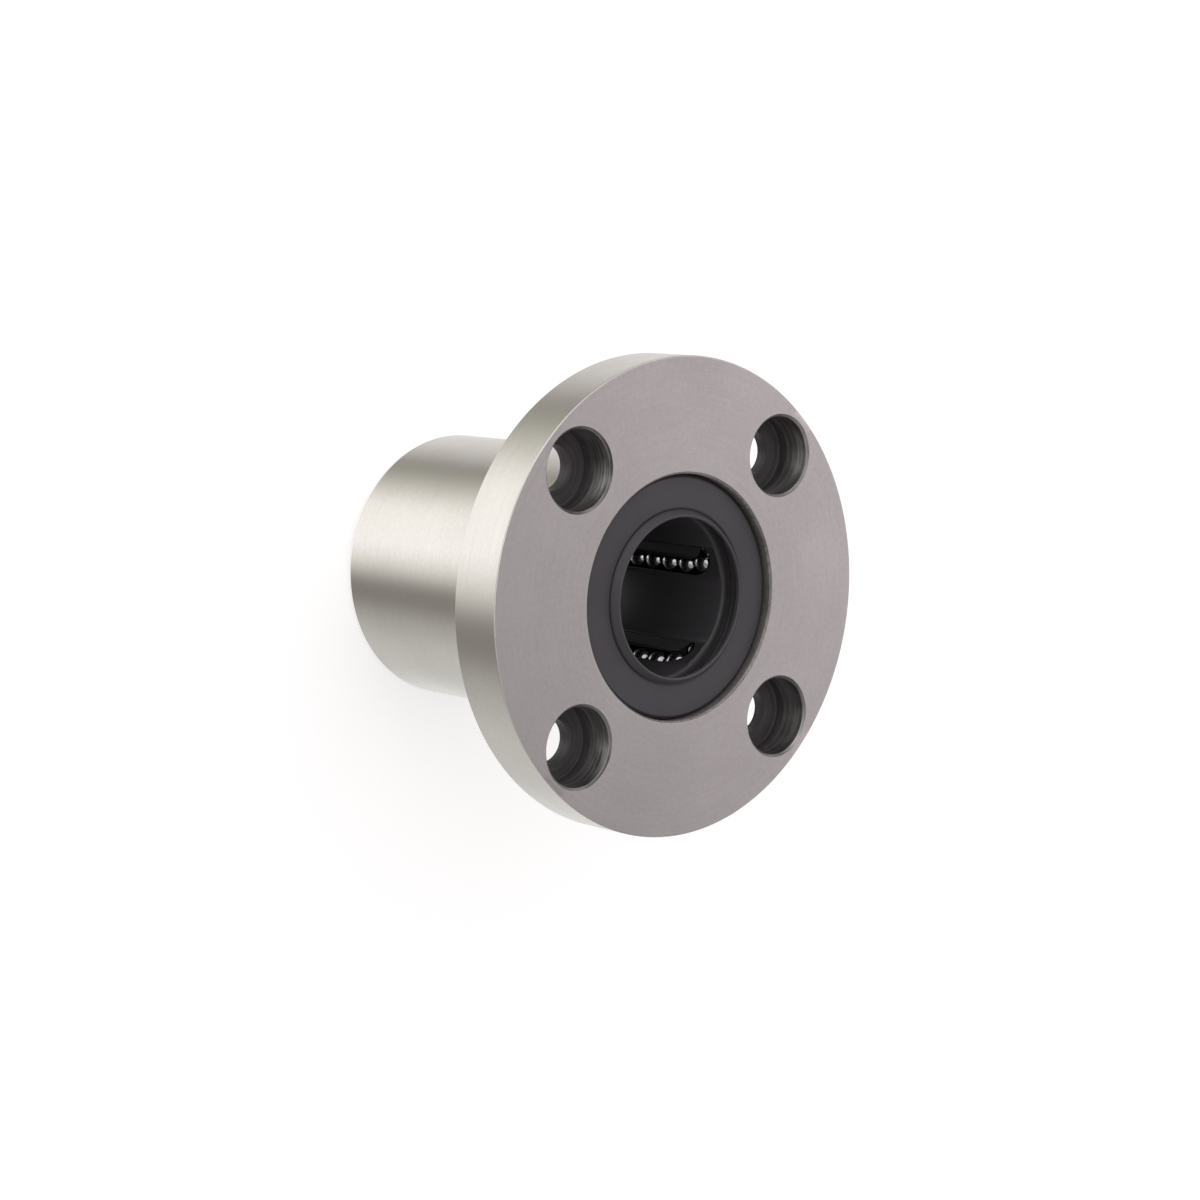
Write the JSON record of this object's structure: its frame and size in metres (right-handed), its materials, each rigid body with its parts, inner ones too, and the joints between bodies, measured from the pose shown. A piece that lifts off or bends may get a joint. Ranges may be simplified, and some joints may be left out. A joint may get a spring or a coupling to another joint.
{
  "type": "flanged linear bearing",
  "caption": "Round-flange linear ball bearing: ground steel sleeve with counterbored flange, recessed lip seals and recirculating ball circuits that run on a round shaft.",
  "frame": {"origin": "on the bore axis, in the seating face at the back of the flange, at the centre of the bolt circle", "axes": "+Z along the bore axis, out of the flange's front face; the bolt holes lie at 45 degrees to X and Y"},
  "size_m": [0.048, 0.048, 0.037],
  "materials": {
    "ground_steel": "ground, satin",
    "retainer_resin": "moulded, satin",
    "seal_rubber": "moulded, matt",
    "spring_steel": "oiled",
    "ball_steel": "polished"
  },
  "bodies": {
    "bearing": {"flanged_sleeve": "ground_steel", "ball_retainer": "retainer_resin", "front_seal": "seal_rubber", "rear_seal": "seal_rubber", "front_retaining_ring": "spring_steel", "rear_retaining_ring": "spring_steel"},
    "loaded_row_1": {"loaded_balls_1": "ball_steel"},
    "return_row_1": {"return_balls_1": "ball_steel"},
    "front_turn_1": {"front_turn_balls_1": "ball_steel"},
    "rear_turn_1": {"rear_turn_balls_1": "ball_steel"},
    "loaded_row_2": {"loaded_balls_2": "ball_steel"},
    "return_row_2": {"return_balls_2": "ball_steel"},
    "front_turn_2": {"front_turn_balls_2": "ball_steel"},
    "rear_turn_2": {"rear_turn_balls_2": "ball_steel"},
    "loaded_row_3": {"loaded_balls_3": "ball_steel"},
    "return_row_3": {"return_balls_3": "ball_steel"},
    "front_turn_3": {"front_turn_balls_3": "ball_steel"},
    "rear_turn_3": {"rear_turn_balls_3": "ball_steel"},
    "loaded_row_4": {"loaded_balls_4": "ball_steel"},
    "return_row_4": {"return_balls_4": "ball_steel"},
    "front_turn_4": {"front_turn_balls_4": "ball_steel"},
    "rear_turn_4": {"rear_turn_balls_4": "ball_steel"},
    "loaded_row_5": {"loaded_balls_5": "ball_steel"},
    "return_row_5": {"return_balls_5": "ball_steel"},
    "front_turn_5": {"front_turn_balls_5": "ball_steel"},
    "rear_turn_5": {"rear_turn_balls_5": "ball_steel"}
  },
  "joints": [
    {"name": "loaded_row_1_travel", "type": "slide", "parent": "bearing", "child": "loaded_row_1", "axis": [0, 0, 1], "range_m": [-0.00126, 0.00126]},
    {"name": "return_row_1_travel", "type": "slide", "parent": "bearing", "child": "return_row_1", "axis": [0, 0, 1], "range_m": [-0.00126, 0.00126]},
    {"name": "front_turn_1_roll", "type": "hinge", "parent": "bearing", "child": "front_turn_1", "pos_m": [0.00845, 0.00434, -0.00114], "axis": [0.9763, 0.2164, 0], "range_deg": [-30, 30]},
    {"name": "rear_turn_1_roll", "type": "hinge", "parent": "bearing", "child": "rear_turn_1", "pos_m": [0.00845, 0.00434, -0.02386], "axis": [0.9763, 0.2164, 0], "range_deg": [-30, 30]},
    {"name": "loaded_row_2_travel", "type": "slide", "parent": "bearing", "child": "loaded_row_2", "axis": [0, 0, 1], "range_m": [-0.00126, 0.00126]},
    {"name": "return_row_2_travel", "type": "slide", "parent": "bearing", "child": "return_row_2", "axis": [0, 0, 1], "range_m": [-0.00126, 0.00126]},
    {"name": "front_turn_2_roll", "type": "hinge", "parent": "bearing", "child": "front_turn_2", "pos_m": [-0.00152, 0.00938, -0.00114], "axis": [0.0958, 0.9954, 0], "range_deg": [-30, 30]},
    {"name": "rear_turn_2_roll", "type": "hinge", "parent": "bearing", "child": "rear_turn_2", "pos_m": [-0.00152, 0.00938, -0.02386], "axis": [0.0958, 0.9954, 0], "range_deg": [-30, 30]},
    {"name": "loaded_row_3_travel", "type": "slide", "parent": "bearing", "child": "loaded_row_3", "axis": [0, 0, 1], "range_m": [-0.00126, 0.00126]},
    {"name": "return_row_3_travel", "type": "slide", "parent": "bearing", "child": "return_row_3", "axis": [0, 0, 1], "range_m": [-0.00126, 0.00126]},
    {"name": "front_turn_3_roll", "type": "hinge", "parent": "bearing", "child": "front_turn_3", "pos_m": [-0.00939, 0.00145, -0.00114], "axis": [-0.9171, 0.3987, 0], "range_deg": [-30, 30]},
    {"name": "rear_turn_3_roll", "type": "hinge", "parent": "bearing", "child": "rear_turn_3", "pos_m": [-0.00939, 0.00145, -0.02386], "axis": [-0.9171, 0.3987, 0], "range_deg": [-30, 30]},
    {"name": "loaded_row_4_travel", "type": "slide", "parent": "bearing", "child": "loaded_row_4", "axis": [0, 0, 1], "range_m": [-0.00126, 0.00126]},
    {"name": "return_row_4_travel", "type": "slide", "parent": "bearing", "child": "return_row_4", "axis": [0, 0, 1], "range_m": [-0.00126, 0.00126]},
    {"name": "front_turn_4_roll", "type": "hinge", "parent": "bearing", "child": "front_turn_4", "pos_m": [-0.00428, -0.00848, -0.00114], "axis": [-0.6626, -0.749, 0], "range_deg": [-30, 30]},
    {"name": "rear_turn_4_roll", "type": "hinge", "parent": "bearing", "child": "rear_turn_4", "pos_m": [-0.00428, -0.00848, -0.02386], "axis": [-0.6626, -0.749, 0], "range_deg": [-30, 30]},
    {"name": "loaded_row_5_travel", "type": "slide", "parent": "bearing", "child": "loaded_row_5", "axis": [0, 0, 1], "range_m": [-0.00126, 0.00126]},
    {"name": "return_row_5_travel", "type": "slide", "parent": "bearing", "child": "return_row_5", "axis": [0, 0, 1], "range_m": [-0.00126, 0.00126]},
    {"name": "front_turn_5_roll", "type": "hinge", "parent": "bearing", "child": "front_turn_5", "pos_m": [0.00674, -0.0067, -0.00114], "axis": [0.5075, -0.8616, 0], "range_deg": [-30, 30]},
    {"name": "rear_turn_5_roll", "type": "hinge", "parent": "bearing", "child": "rear_turn_5", "pos_m": [0.00674, -0.0067, -0.02386], "axis": [0.5075, -0.8616, 0], "range_deg": [-30, 30]}
  ],
  "couplings": [
    {"joint": "return_row_1_travel", "follows": "loaded_row_1_travel", "ratio": -1},
    {"joint": "front_turn_1_roll", "follows": "loaded_row_1_travel", "rad_per_m": -414.77},
    {"joint": "rear_turn_1_roll", "follows": "loaded_row_1_travel", "rad_per_m": -414.77},
    {"joint": "return_row_2_travel", "follows": "loaded_row_2_travel", "ratio": -1},
    {"joint": "front_turn_2_roll", "follows": "loaded_row_2_travel", "rad_per_m": -414.77},
    {"joint": "rear_turn_2_roll", "follows": "loaded_row_2_travel", "rad_per_m": -414.77},
    {"joint": "return_row_3_travel", "follows": "loaded_row_3_travel", "ratio": -1},
    {"joint": "front_turn_3_roll", "follows": "loaded_row_3_travel", "rad_per_m": -414.77},
    {"joint": "rear_turn_3_roll", "follows": "loaded_row_3_travel", "rad_per_m": -414.77},
    {"joint": "return_row_4_travel", "follows": "loaded_row_4_travel", "ratio": -1},
    {"joint": "front_turn_4_roll", "follows": "loaded_row_4_travel", "rad_per_m": -414.77},
    {"joint": "rear_turn_4_roll", "follows": "loaded_row_4_travel", "rad_per_m": -414.77},
    {"joint": "return_row_5_travel", "follows": "loaded_row_5_travel", "ratio": -1},
    {"joint": "front_turn_5_roll", "follows": "loaded_row_5_travel", "rad_per_m": -414.77},
    {"joint": "rear_turn_5_roll", "follows": "loaded_row_5_travel", "rad_per_m": -414.77}
  ]
}
